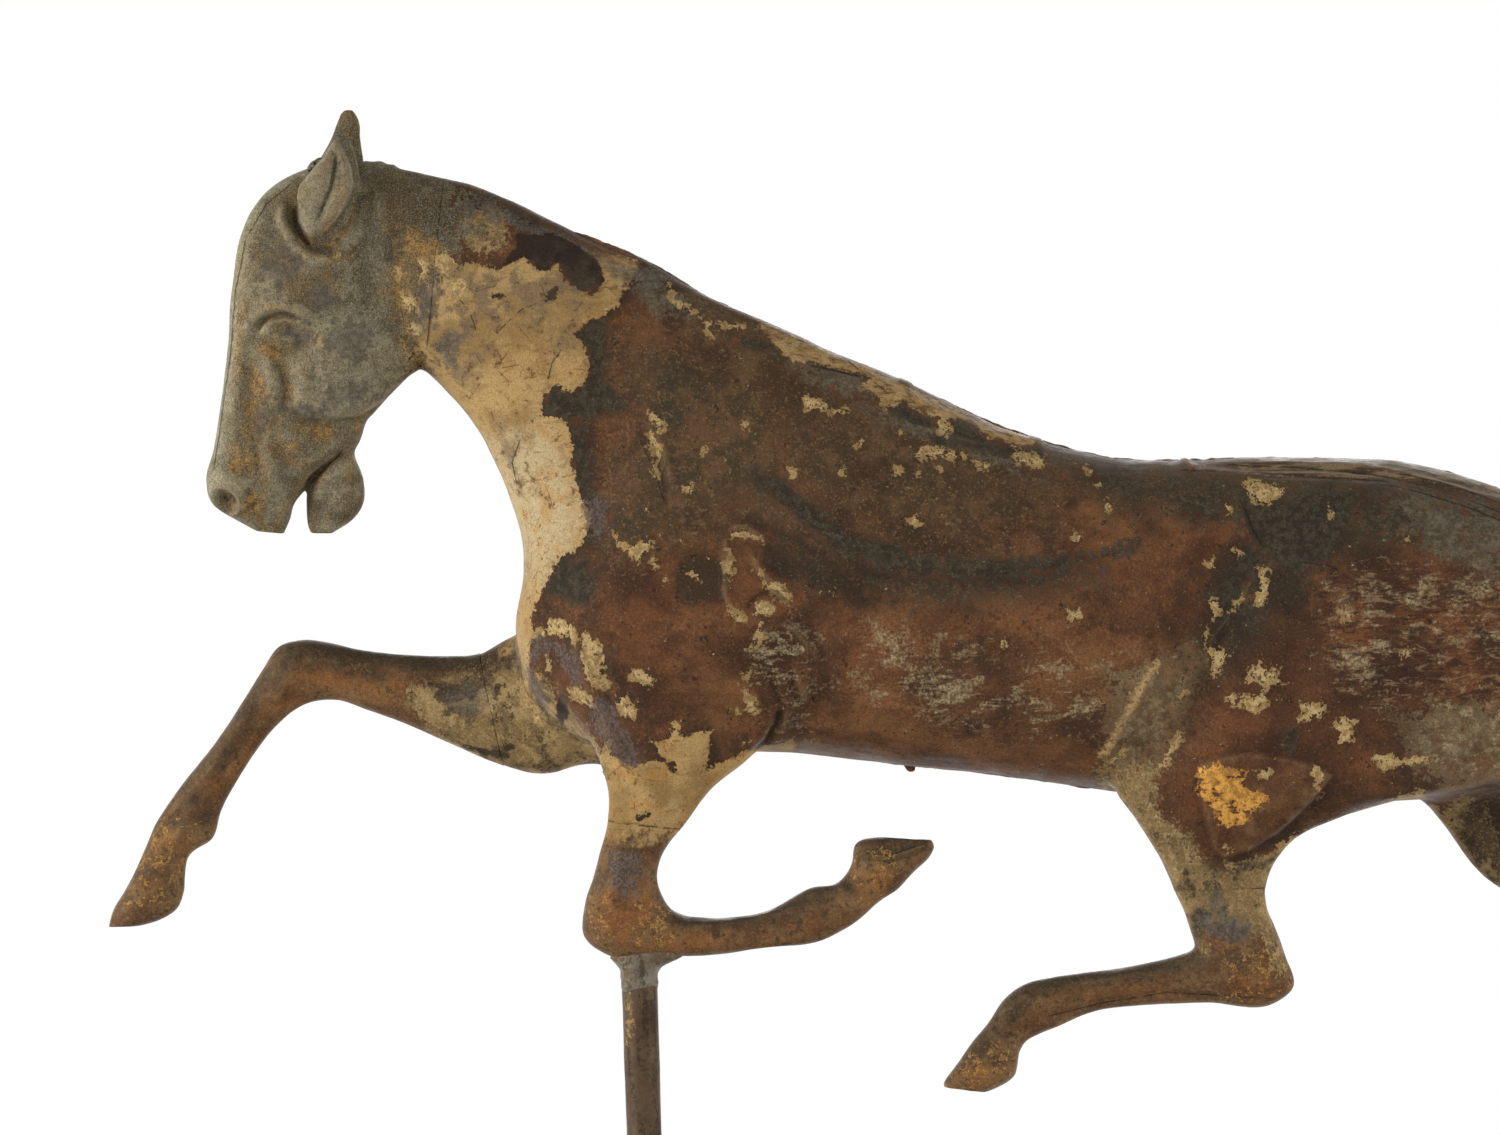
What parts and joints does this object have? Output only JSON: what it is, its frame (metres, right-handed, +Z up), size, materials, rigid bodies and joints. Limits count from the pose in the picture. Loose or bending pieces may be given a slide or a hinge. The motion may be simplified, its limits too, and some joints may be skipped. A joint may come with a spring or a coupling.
{
  "type": "horse weathervane",
  "caption": "Full-bodied trotting horse weathervane of weathered sheet copper with a cast zinc head, turning on a steel spindle in an iron roof flange.",
  "frame": {"origin": "on the vertical spin axis, at the underside of the roof flange", "axes": "+Z up along the spindle; +X from the horse's head towards its tail, so that it faces -X; -Y is the horse's near (left) side, the side in the picture"},
  "size_m": [0.8398, 0.114, 0.6076],
  "materials": {
    "painted_copper": "weathered dark paint over sheet copper, with traces of cream ground and gold leaf",
    "bare_copper": "dull brown bare sheet copper",
    "zinc_casting": "weathered cast zinc, grey with brown stains",
    "solder": "dull grey soft solder",
    "aged_brass": "brown aged brass tube",
    "black_iron": "black painted cast iron with rust",
    "steel": "dull weathered steel"
  },
  "bodies": {
    "mast": {"roof_flange": "black_iron", "spindle": "steel", "spindle_set_screw": "steel", "flange_screw_1": "steel", "flange_screw_2": "steel", "flange_screw_3": "steel", "flange_screw_4": "steel"},
    "vane": {"body_shell_near": "painted_copper", "body_shell_far": "painted_copper", "head_casting_near": "zinc_casting", "head_casting_far": "zinc_casting", "neck_sleeve": "bare_copper", "near_foreleg_outer": "painted_copper", "near_foreleg_inner": "painted_copper", "near_foreleg_sleeve": "bare_copper", "far_foreleg_outer": "painted_copper", "far_foreleg_inner": "painted_copper", "far_foreleg_sleeve": "bare_copper", "near_hind_leg_outer": "painted_copper", "near_hind_leg_inner": "painted_copper", "near_hind_leg_sleeve": "bare_copper", "far_hind_leg_outer": "painted_copper", "far_hind_leg_inner": "painted_copper", "far_hind_leg_sleeve": "bare_copper", "tail_near": "painted_copper", "tail_far": "painted_copper", "spine_seam_bead": "solder", "belly_seam_bead": "solder", "knee_solder": "solder", "vane_tube": "aged_brass", "pivot_cap": "aged_brass", "lower_bush": "aged_brass", "upper_tube_brace": "bare_copper", "lower_tube_brace": "bare_copper"}
  },
  "joints": [
    {"name": "vane_spin", "type": "hinge", "parent": "mast", "child": "vane", "pos_m": [0, 0, 0], "axis": [0, 0, 1], "continuous": true}
  ]
}
